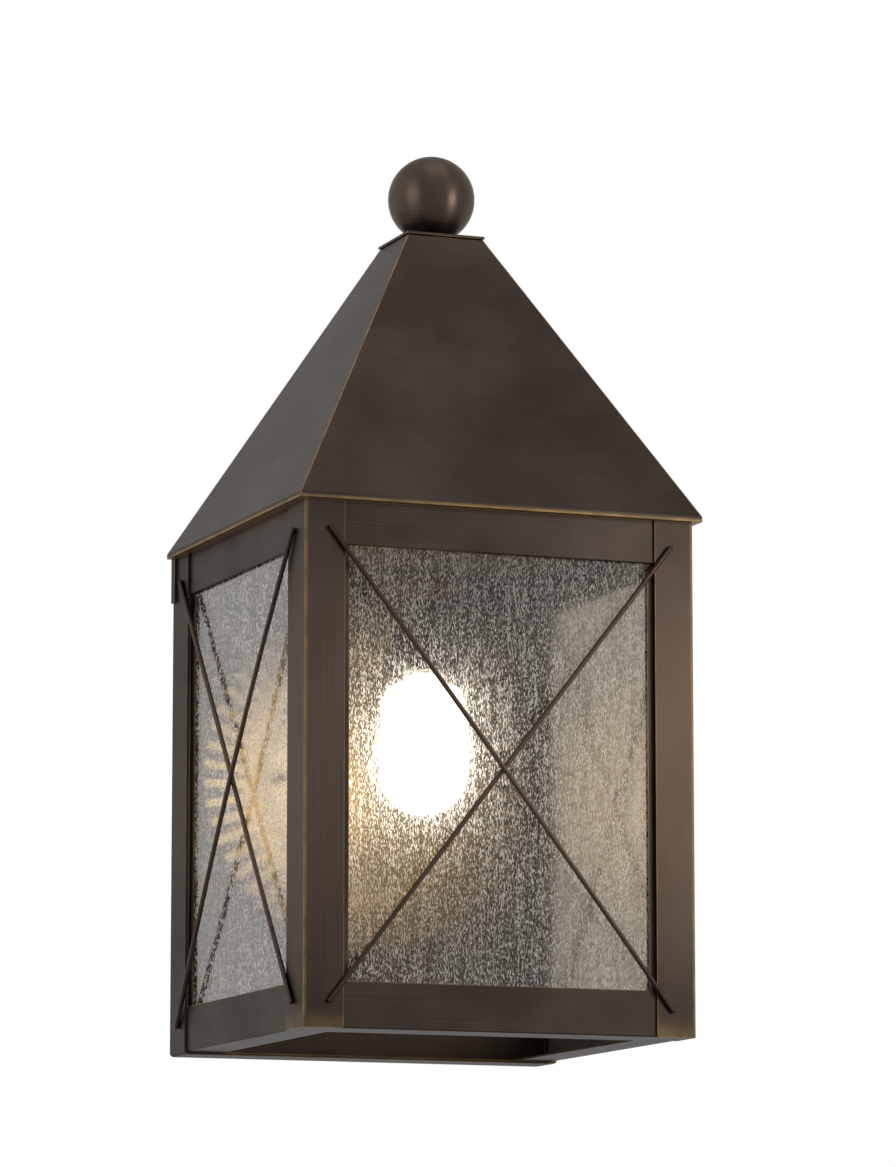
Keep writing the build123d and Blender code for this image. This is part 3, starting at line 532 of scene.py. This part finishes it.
def seeded_glass(name, settings, colours):
    """Rolled seedy glass: fine upright seeds on its outer face dim, spread and catch the light; between the
    pale seeds the glass is tinted dark with painted shade.
    """
    made, tree = new_material(name)
    place = add(tree, "ShaderNodeTexCoord").outputs["Object"]
    wide = 1 / settings.seed_width
    scale = (wide, 0.2 * wide, 1 / settings.seed_length)
    upright = add(tree, "ShaderNodeMapping", {"Vector": place, "Scale": scale}).outputs["Vector"]
    seeds = add(
        tree,
        "ShaderNodeTexNoise",
        {"Vector": upright, "Scale": 1.0, "Detail": 1.0, "Roughness": 0.5, "Distortion": 0.3},
    ).outputs["Fac"]
    drawn = add(
        tree,
        "ShaderNodeMapping",
        {"Vector": place, "Scale": (1 / (2.6 * MM), 1 / (4.5 * MM), 1 / (60 * MM))},
    ).outputs["Vector"]
    streak = add(tree, "ShaderNodeTexNoise", {"Vector": drawn, "Scale": 1.0}).outputs["Fac"]
    both = add(
        tree, "ShaderNodeMath", {0: streak, 1: 0.3, 2: seeds}, operation="MULTIPLY_ADD"
    ).outputs["Value"]
    parts = add(tree, "ShaderNodeSeparateXYZ", {"Vector": place})
    front_low, front_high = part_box("glass_front")
    side_low, side_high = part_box("glass_right")
    before = add(
        tree,
        "ShaderNodeMath",
        {0: parts.outputs["Y"], 1: (front_low.y + front_high.y) / 2},
        operation="LESS_THAN",
    ).outputs["Value"]
    aside = add(tree, "ShaderNodeMath", {0: parts.outputs["X"]}, operation="ABSOLUTE").outputs["Value"]
    beside = add(
        tree,
        "ShaderNodeMath",
        {0: aside, 1: (side_low.x + side_high.x) / 2},
        operation="GREATER_THAN",
    ).outputs["Value"]
    outside = add(tree, "ShaderNodeMath", {0: before, 1: beside}, operation="MAXIMUM").outputs["Value"]
    in_sight = add(
        tree,
        "ShaderNodeMath",
        {0: parts.outputs["Z"], 1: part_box("bottom_rail_front")[1].z - 1 * MM},
        operation="GREATER_THAN",
    ).outputs["Value"]
    outer = add(tree, "ShaderNodeMath", {0: outside, 1: in_sight}, operation="MULTIPLY").outputs["Value"]
    pale = add(
        tree,
        "ShaderNodeMapRange",
        {"Value": both, "From Min": 0.56, "From Max": 0.78, "To Min": 0.0, "To Max": 1.0},
    ).outputs["Result"]
    seed = add(tree, "ShaderNodeMath", {0: pale, 1: 1.4}, operation="POWER").outputs["Value"]
    clear = add(tree, "ShaderNodeMath", {0: 1.0, 1: outer}, operation="SUBTRACT").outputs["Value"]
    light = add(tree, "ShaderNodeMath", {0: seed, 1: clear}, operation="MAXIMUM").outputs["Value"]
    # Painted shade: the outer face is tinted dark between the pale seeds
    tone = add(
        tree,
        "ShaderNodeMix",
        {"Factor": light, "A": colour(colours.glass_painted_shade), "B": colour(colours.glass_tint)},
        data_type="RGBA",
    ).outputs["Result"]
    cover = add(tree, "ShaderNodeMath", {0: seed, 1: outer}, operation="MULTIPLY").outputs["Value"]
    milky = add(
        tree, "ShaderNodeMapRange", {"Value": beside, "To Min": 0.8, "To Max": 0.6}
    ).outputs["Result"]
    through = add(
        tree, "ShaderNodeMapRange", {"Value": cover, "To Min": 0.98, "To Max": milky}
    ).outputs["Result"]
    frosted = add(tree, "ShaderNodeMath", {0: cover, 1: cover}, operation="MULTIPLY").outputs["Value"]
    misty = add(
        tree, "ShaderNodeTexNoise", {"Vector": place, "Scale": 1 / (0.4 * MM), "Detail": 1.0}
    ).outputs["Fac"]
    mist = add(
        tree,
        "ShaderNodeMapRange",
        {"Value": misty, "From Min": 0.6, "From Max": 0.66, "To Min": 0.0, "To Max": clear},
    ).outputs["Result"]
    hazy = add(tree, "ShaderNodeMath", {0: frosted, 1: mist}, operation="MAXIMUM").outputs["Value"]
    widest = add(
        tree, "ShaderNodeMapRange", {"Value": beside, "To Min": 0.72, "To Max": 0.4}
    ).outputs["Result"]
    gloss = add(
        tree, "ShaderNodeMapRange", {"Value": hazy, "To Min": 0.03, "To Max": widest}
    ).outputs["Result"]
    bump = add(
        tree,
        "ShaderNodeBump",
        {"Height": both, "Strength": outer, "Distance": SEED_RELIEF},
    ).outputs["Normal"]
    shader = add(
        tree,
        "ShaderNodeBsdfPrincipled",
        {
            "Base Color": tone,
            "Transmission Weight": through,
            "Normal": bump,
            "Roughness": gloss,
            "IOR": 1.5,
        },
    )
    add(tree, "ShaderNodeOutputMaterial", {"Surface": shader.outputs["BSDF"]})
    return made


def plain_metal(name, hex_colour, roughness, mottle, size, metallic=1.0):
    """Satin plating or sheet: soft highlights that break up in a fine mottle."""
    made, tree = new_material(name)
    place = add(tree, "ShaderNodeTexCoord").outputs["Object"]
    cloud = add(
        tree, "ShaderNodeTexNoise", {"Vector": place, "Scale": 1 / size, "Detail": 4.0}
    ).outputs["Fac"]
    tone = add(
        tree,
        "ShaderNodeMapRange",
        {"Value": cloud, "From Min": 0.3, "From Max": 0.7, "To Min": 1 - mottle, "To Max": 1 + mottle / 2},
    ).outputs["Result"]
    body = add(
        tree,
        "ShaderNodeMix",
        {"Factor": 1.0, "A": colour(hex_colour), "B": tone},
        data_type="RGBA",
        blend_type="MULTIPLY",
    ).outputs["Result"]
    gloss = add(
        tree,
        "ShaderNodeMapRange",
        {
            "Value": cloud,
            "From Min": 0.3,
            "From Max": 0.7,
            "To Min": roughness + 0.08,
            "To Max": roughness - 0.05,
        },
    ).outputs["Result"]
    bump = add(
        tree, "ShaderNodeBump", {"Height": cloud, "Strength": 0.15, "Distance": SKIN_RELIEF}
    ).outputs["Normal"]
    shader = add(
        tree,
        "ShaderNodeBsdfPrincipled",
        {"Base Color": body, "Roughness": gloss, "Normal": bump, "Metallic": metallic},
    )
    add(tree, "ShaderNodeOutputMaterial", {"Surface": shader.outputs["BSDF"]})
    return made


def fluted_brass(name, hex_colour):
    """Spun and pressed brass: bright on the ridges of the rim, with painted shade dark in its flutes that
    also stands for old lacquer.
    """
    made, tree = new_material(name)
    place = add(tree, "ShaderNodeTexCoord").outputs["Object"]
    parts = add(tree, "ShaderNodeSeparateXYZ", {"Vector": place})
    turn = add(
        tree,
        "ShaderNodeMath",
        {0: parts.outputs["Z"], 1: parts.outputs["X"]},
        operation="ARCTAN2",
    ).outputs["Value"]
    wave = add(tree, "ShaderNodeMath", {0: turn, 1: FLUTES}, operation="MULTIPLY").outputs["Value"]
    valley = add(tree, "ShaderNodeMath", {0: wave}, operation="COSINE").outputs["Value"]
    flat = add(tree, "ShaderNodeVectorMath", {0: place, 1: (1, 0, 1)}, operation="MULTIPLY").outputs[0]
    reach = add(tree, "ShaderNodeVectorMath", {0: flat}, operation="LENGTH").outputs["Value"]
    rim = add(
        tree,
        "ShaderNodeMapRange",
        {
            "Value": reach,
            "From Min": FLUTE_START,
            "From Max": FLUTE_START + 10 * MM,
            "To Min": 0.0,
            "To Max": 1.0,
        },
    ).outputs["Result"]
    # Painted shade in the hollows of the flutes, which also stands for old lacquer
    deep = add(
        tree,
        "ShaderNodeMapRange",
        {"Value": valley, "From Min": -0.3, "From Max": 0.9, "To Min": 0.0, "To Max": rim},
    ).outputs["Result"]
    spun = add(
        tree, "ShaderNodeTexNoise", {"Vector": place, "Scale": 1 / (12 * MM), "Detail": 4.0}
    ).outputs["Fac"]
    lacquer_and_flute_shade = add(tree, "ShaderNodeMath", {0: spun, 1: 0.2, 2: deep}, operation="MULTIPLY_ADD").outputs["Value"]
    # The dark brown #3d2f1f is the painted shade in the flutes
    body = add(
        tree,
        "ShaderNodeMix",
        {"Factor": lacquer_and_flute_shade, "A": colour(hex_colour), "B": colour("#3d2f1f")},
        data_type="RGBA",
    ).outputs["Result"]
    gloss = add(
        tree, "ShaderNodeMapRange", {"Value": spun, "To Min": 0.32, "To Max": 0.44}
    ).outputs["Result"]
    shader = add(
        tree,
        "ShaderNodeBsdfPrincipled",
        {"Base Color": body, "Roughness": gloss, "Metallic": 0.9},
    )
    add(tree, "ShaderNodeOutputMaterial", {"Surface": shader.outputs["BSDF"]})
    return made


def frosted_lamp_glass(name, settings, colours):
    """Acid-frosted glass, lit from inside: an even glow that is a little fainter towards the neck."""
    made, tree = new_material(name)
    place = add(tree, "ShaderNodeTexCoord").outputs["Object"]
    height = add(tree, "ShaderNodeSeparateXYZ", {"Vector": place}).outputs["Z"]
    low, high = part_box("bulb_globe")
    fade = add(
        tree,
        "ShaderNodeMapRange",
        {
            "Value": height,
            "From Min": low.z + 0.5 * (high.z - low.z),
            "From Max": high.z,
            "To Min": settings.lamp_strength,
            "To Max": settings.lamp_strength * 0.3,
        },
    ).outputs["Result"]
    frost = add(
        tree, "ShaderNodeTexNoise", {"Vector": place, "Scale": 1 / (0.8 * MM), "Detail": 2.0}
    ).outputs["Fac"]
    bump = add(
        tree, "ShaderNodeBump", {"Height": frost, "Strength": 0.2, "Distance": SKIN_RELIEF}
    ).outputs["Normal"]
    shader = add(
        tree,
        "ShaderNodeBsdfPrincipled",
        {
            "Base Color": colour("#f7f0e2"),
            "Roughness": 0.5,
            "Normal": bump,
            "Emission Color": colour(colours.lamp_light),
            "Emission Strength": fade,
        },
    )
    add(tree, "ShaderNodeOutputMaterial", {"Surface": shader.outputs["BSDF"]})
    return made


def moulded(name, hex_colour, roughness, size):
    """Moulded plastic or fired glass: one even colour under a faint skin that breaks its shine."""
    made, tree = new_material(name)
    place = add(tree, "ShaderNodeTexCoord").outputs["Object"]
    skin = add(
        tree, "ShaderNodeTexNoise", {"Vector": place, "Scale": 1 / size, "Detail": 3.0}
    ).outputs["Fac"]
    tone = add(
        tree,
        "ShaderNodeMapRange",
        {"Value": skin, "From Min": 0.3, "From Max": 0.7, "To Min": 0.9, "To Max": 1.06},
    ).outputs["Result"]
    body = add(
        tree,
        "ShaderNodeMix",
        {"Factor": 1.0, "A": colour(hex_colour), "B": tone},
        data_type="RGBA",
        blend_type="MULTIPLY",
    ).outputs["Result"]
    bump = add(
        tree, "ShaderNodeBump", {"Height": skin, "Strength": 0.1, "Distance": SKIN_RELIEF}
    ).outputs["Normal"]
    shader = add(
        tree,
        "ShaderNodeBsdfPrincipled",
        {"Base Color": body, "Roughness": roughness, "Normal": bump},
    )
    add(tree, "ShaderNodeOutputMaterial", {"Surface": shader.outputs["BSDF"]})
    return made


def glowing_wire(name):
    """Tungsten at working heat: an orange wire whose turns glow unevenly."""
    made, tree = new_material(name)
    place = add(tree, "ShaderNodeTexCoord").outputs["Object"]
    turns = add(
        tree, "ShaderNodeTexWave", {"Vector": place, "Scale": 1 / (0.5 * MM)}, bands_direction="X"
    ).outputs["Fac"]
    heat = add(
        tree, "ShaderNodeMapRange", {"Value": turns, "To Min": 20.0, "To Max": 40.0}
    ).outputs["Result"]
    shader = add(
        tree,
        "ShaderNodeBsdfPrincipled",
        {
            "Base Color": colour("#8d8478"),
            "Metallic": 1.0,
            "Roughness": 0.4,
            "Emission Color": colour("#ffc27a"),
            "Emission Strength": heat,
        },
    )
    add(tree, "ShaderNodeOutputMaterial", {"Surface": shader.outputs["BSDF"]})
    return made


def clear_glass(name):
    """Drawn clear glass: seen mostly by its sharp highlights and the bend of what is behind."""
    made, tree = new_material(name)
    place = add(tree, "ShaderNodeTexCoord").outputs["Object"]
    draw = add(
        tree, "ShaderNodeTexNoise", {"Vector": place, "Scale": 1 / (6 * MM)}
    ).outputs["Fac"]
    gloss = add(
        tree, "ShaderNodeMapRange", {"Value": draw, "To Min": 0.02, "To Max": 0.08}
    ).outputs["Result"]
    shader = add(
        tree,
        "ShaderNodeBsdfPrincipled",
        {"Base Color": colour("#f2f4f2"), "Roughness": gloss, "IOR": 1.5, "Transmission Weight": 1.0},
    )
    add(tree, "ShaderNodeOutputMaterial", {"Surface": shader.outputs["BSDF"]})
    return made


class LANTERN_OT_bronze(bpy.types.Operator):
    """Gives the cage, the roof and the rods their rubbed bronze"""

    bl_idname = "lantern.bronze"
    bl_label = "Bronze work"

    def execute(self, context):
        sizes = context.scene.lantern_sizes
        colours = context.scene.lantern_colours
        roof = rubbed_bronze("rubbed_bronze_roof", "X", 0.0, eave_wear_and_highlight, 0.34, sizes, colours)
        roof_side = rubbed_bronze("rubbed_bronze_roof_side", "Y", 0.0, eave_wear_and_highlight, 0.34, sizes, colours)
        level = rubbed_bronze("rubbed_bronze_level", "X", 0.0, None, 0.34, sizes, colours)
        deep = rubbed_bronze("rubbed_bronze_deep", "Y", 0.0, None, 0.34, sizes, colours)
        post = rubbed_bronze("rubbed_bronze_post", "Z", 0.5, post_wear_and_highlight, 0.34, sizes, colours)
        rear = rubbed_bronze("rubbed_bronze_rear", "Z", 0.0, None, 0.36, sizes, colours)
        rod = rubbed_bronze("rubbed_bronze_rod", "Z", 0.5, None, 0.28, sizes, colours)
        wear(ROOF_PANELS, roof)
        wear(ROOF_SIDE_PANELS, roof_side)
        wear(LEVEL_SHEETS, level)
        wear(SIDE_SHEETS, deep)
        wear(POSTS, post)
        wear(REAR_SHEETS + CHANNELS, rear)
        wear(RODS, rod)
        return {"FINISHED"}


class LANTERN_OT_finial(bpy.types.Operator):
    """Turns the ball of the finial and cuts its threaded stud"""

    bl_idname = "lantern.finial"
    bl_label = "Ball finial"

    def execute(self, context):
        sizes = context.scene.lantern_sizes
        colours = context.scene.lantern_colours
        low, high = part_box("finial_ball")
        radius = (high.x - low.x) / 2
        centre = Vector(((low.x + high.x) / 2, (low.y + high.y) / 2, high.z - radius))
        bpy.ops.object.select_all(action="DESELECT")
        bpy.ops.mesh.primitive_uv_sphere_add(
            segments=96, ring_count=64, radius=radius, location=centre
        )
        ball = context.object
        ball.name = "turned_ball"
        bpy.ops.object.mode_set(mode="EDIT")
        bpy.ops.mesh.select_all(action="SELECT")
        bpy.ops.mesh.bisect(
            plane_co=(centre.x, centre.y, low.z), plane_no=(0, 0, -1), clear_outer=True, use_fill=True
        )
        bpy.ops.mesh.inset(thickness=BALL_SEAT)
        bpy.ops.mesh.extrude_region_move(TRANSFORM_OT_translate={"value": (0, 0, BALL_HOLLOW)})
        bpy.ops.mesh.select_all(action="SELECT")
        bpy.ops.mesh.normals_make_consistent(inside=False)
        bpy.ops.object.mode_set(mode="OBJECT")
        settle(ball, 40)
        turned = rubbed_bronze("turned_bronze_ball", "XY", 0.0, None, 0.3, sizes, colours, 0.7)
        dress(ball, turned, "finial", "finial_ball")

        low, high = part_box("finial_stud")
        stud = threaded_bar("threaded_stud", low, high, STUD_PITCH, STUD_RIDGE)
        zinc = plain_metal("zinc_plated_stud", "#bdbdb8", 0.35, 0.18, 6 * MM)
        dress(stud, zinc, "finial_travel", "finial_stud")
        return {"FINISHED"}


class LANTERN_OT_glass(bpy.types.Operator):
    """Gives the three panes their seeded glass"""

    bl_idname = "lantern.glass"
    bl_label = "Seeded panes"

    def execute(self, context):
        glass = seeded_glass("seeded_glass", context.scene.lantern_sizes, context.scene.lantern_colours)
        wear(PANES, glass)
        return {"FINISHED"}


class LANTERN_OT_lamp(bpy.types.Operator):
    """Finishes the lamp and the lampholder"""

    bl_idname = "lantern.lamp"
    bl_label = "Lamp and lampholder"

    def execute(self, context):
        sizes = context.scene.lantern_sizes
        colours = context.scene.lantern_colours
        low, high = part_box("bulb_globe")
        centre = (low + high) / 2
        globe = drawn_up("frosted_globe", centre, low.z, GLOBE_RINGS, 72)
        settle(globe, 60)
        frosted = frosted_lamp_glass("frosted_lamp_glass", sizes, colours)
        dress(globe, frosted, "lamp", "bulb_globe")

        low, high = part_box("bulb_screw_cap")
        cap = threaded_bar("threaded_lamp_cap", low, high, CAP_PITCH, CAP_RIDGE)
        drawn = plain_metal("drawn_aluminium", "#d8d8d6", 0.3, 0.1, 5 * MM)
        dress(cap, drawn, "lamp", "bulb_screw_cap")
        wear(("bulb_insulator",), moulded("black_fired_glass", "#17171a", 0.12, 3 * MM))
        wear(("bulb_stem",), clear_glass("drawn_clear_glass"))
        wear(("bulb_filament",), glowing_wire("hot_tungsten"))
        wear(
            ("bulb_tip", "socket_screw_shell", "socket_contact"),
            plain_metal("bright_brass", "#d9b978", 0.25, 0.12, 4 * MM),
        )
        wear(("socket_body",), moulded("black_phenolic", "#1f1a17", 0.4, 2 * MM))
        wear(
            ("socket_canopy", "socket_cap", "socket_nipple", "socket_locknuts"),
            plain_metal("coppery_brass", colours.holder, 0.3, 0.15, 8 * MM),
        )
        return {"FINISHED"}


class LANTERN_OT_reflector(bpy.types.Operator):
    """Finishes the fluted reflector and its nuts"""

    bl_idname = "lantern.reflector"
    bl_label = "Fluted reflector"

    def execute(self, context):
        colours = context.scene.lantern_colours
        wear(("reflector",), fluted_brass("spun_brass", colours.reflector))
        wear(("ceiling_plate",), plain_metal("dull_brass_sheet", "#b09468", 0.45, 0.2, 20 * MM))
        wear(("cap_nuts",), plain_metal("coppery_brass_nuts", colours.holder, 0.3, 0.15, 8 * MM))
        return {"FINISHED"}


class LANTERN_OT_fixings(bpy.types.Operator):
    """Finishes the wall strap, the screws and the leads"""

    bl_idname = "lantern.fixings"
    bl_label = "Fixings and leads"

    def execute(self, context):
        wear(
            PLATED_PARTS,
            plain_metal("zinc_plate", "#bdbdb8", 0.35, 0.18, 6 * MM),
        )
        wear(("ground_screw",), plain_metal("green_chromate", "#2f7a3c", 0.35, 0.15, 4 * MM, 0.6))
        wear(("ground_wire",), moulded("green_sheath", "#2d6b34", 0.45, 2 * MM))
        wear(("lead_black",), moulded("black_sheath", "#1b1b1b", 0.5, 2 * MM))
        wear(("lead_white",), moulded("white_sheath", "#dcdad2", 0.5, 2 * MM))
        return {"FINISHED"}


def soft_box(name, place, aim, width, height, power, tint):
    data = bpy.data.lights.new(name, "AREA")
    data.shape = "RECTANGLE"
    data.size = width
    data.size_y = height
    data.energy = power
    data.color = tint
    made = bpy.data.objects.new(name, data)
    made.location = place
    made.rotation_euler = (Vector(aim) - Vector(place)).to_track_quat("-Z", "Y").to_euler()
    bpy.context.scene.collection.objects.link(made)
    return made


class LANTERN_OT_stage(bpy.types.Operator):
    """Sets the pale floor, the studio light, the white surroundings and the camera"""

    bl_idname = "lantern.stage"
    bl_label = "Stage and camera"

    def execute(self, context):
        scene = context.scene
        bpy.ops.object.select_all(action="DESELECT")
        bpy.ops.mesh.primitive_plane_add(size=14, location=(0, 0, -2.6))
        floor = context.object
        floor.name = "floor"
        paper, tree = new_material("pale_paper")
        place = add(tree, "ShaderNodeTexCoord").outputs["Object"]
        fibre = add(
            tree, "ShaderNodeTexNoise", {"Vector": place, "Scale": 60.0, "Detail": 4.0}
        ).outputs["Fac"]
        tone = add(
            tree, "ShaderNodeMapRange", {"Value": fibre, "To Min": 0.84, "To Max": 0.88}
        ).outputs["Result"]
        shader = add(
            tree, "ShaderNodeBsdfPrincipled", {"Base Color": tone, "Roughness": 0.8}
        )
        add(tree, "ShaderNodeOutputMaterial", {"Surface": shader.outputs["BSDF"]})
        floor.data.materials.append(paper)

        soft_box("key_soft_box", (0.80, -1.20, 0.22), (0.05, -0.25, 0.0), 0.4, 0.5, 3.6, (1.0, 0.98, 0.96))
        soft_box("fill_soft_box", (-2.0, -0.8, 0.5), (0, -0.12, 0.0), 1.2, 1.8, 9, (0.97, 0.98, 1.0))
        soft_box("top_soft_box", (0.1, -0.6, 2.0), (0, -0.12, 0.1), 1.4, 1.2, 5, (1.0, 1.0, 1.0))

        world = bpy.data.worlds.new("white_room")
        world.use_nodes = True
        tree = world.node_tree
        tree.nodes.clear()
        path = add(tree, "ShaderNodeLightPath")
        seen = add(
            tree,
            "ShaderNodeMath",
            {0: path.outputs["Is Camera Ray"], 1: path.outputs["Is Transmission Ray"]},
            operation="MAXIMUM",
        ).outputs["Value"]
        towards = add(tree, "ShaderNodeTexCoord").outputs["Generated"]
        backwards = add(tree, "ShaderNodeSeparateXYZ", {"Vector": towards}).outputs["Y"]
        mirrored = add(
            tree,
            "ShaderNodeMapRange",
            {"Value": backwards, "From Min": -0.4, "From Max": 0.5, "To Min": 0.46, "To Max": 0.95},
            interpolation_type="SMOOTHSTEP",
        ).outputs["Result"]
        reflected = add(
            tree,
            "ShaderNodeMapRange",
            {"Value": path.outputs["Is Glossy Ray"], "To Min": 0.4, "To Max": mirrored},
        ).outputs["Result"]
        strength = add(
            tree,
            "ShaderNodeMapRange",
            {"Value": seen, "To Min": reflected, "To Max": 1.0},
        ).outputs["Result"]
        white = add(
            tree, "ShaderNodeBackground", {"Color": (1, 1, 1, 1), "Strength": strength}
        ).outputs["Background"]
        add(tree, "ShaderNodeOutputWorld", {"Surface": white})
        scene.world = world

        data = bpy.data.cameras.new("photo_camera")
        data.sensor_width = 36.0
        data.lens = CAMERA_LENS
        data.clip_end = 100
        camera = bpy.data.objects.new("photo_camera", data)
        camera.location = CAMERA_PLACE
        camera.rotation_euler = (math.radians(CAMERA_TILT), 0, math.radians(CAMERA_TURN))
        scene.collection.objects.link(camera)
        scene.camera = camera
        scene.view_settings.view_transform = "Standard"
        return {"FINISHED"}


class LANTERN_PT_panel(bpy.types.Panel):
    """The lantern's sizes, colours and pieces"""

    bl_idname = "LANTERN_PT_panel"
    bl_label = "Wall lantern"
    bl_space_type = "VIEW_3D"
    bl_region_type = "UI"
    bl_category = "Lantern"

    def draw(self, context):
        layout = self.layout
        for group in (context.scene.lantern_sizes, context.scene.lantern_colours):
            column = layout.column()
            for name in group.__annotations__:
                column.prop(group, name)
        for step in STEPS:
            layout.operator(step.bl_idname)


STEPS = (
    LANTERN_OT_bronze,
    LANTERN_OT_finial,
    LANTERN_OT_glass,
    LANTERN_OT_lamp,
    LANTERN_OT_reflector,
    LANTERN_OT_fixings,
    LANTERN_OT_stage,
)
CLASSES = (LanternColours, LanternSizes) + STEPS + (LANTERN_PT_panel,)


def register():
    for each in CLASSES:
        bpy.utils.register_class(each)
    bpy.types.Scene.lantern_sizes = bpy.props.PointerProperty(type=LanternSizes)
    bpy.types.Scene.lantern_colours = bpy.props.PointerProperty(type=LanternColours)


def unregister():
    del bpy.types.Scene.lantern_sizes
    del bpy.types.Scene.lantern_colours
    for each in reversed(CLASSES):
        bpy.utils.unregister_class(each)


def main():
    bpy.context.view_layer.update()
    register()
    bpy.ops.lantern.bronze()
    bpy.ops.lantern.finial()
    bpy.ops.lantern.glass()
    bpy.ops.lantern.lamp()
    bpy.ops.lantern.reflector()
    bpy.ops.lantern.fixings()
    bpy.ops.lantern.stage()


if __name__ == "__main__":
    main()
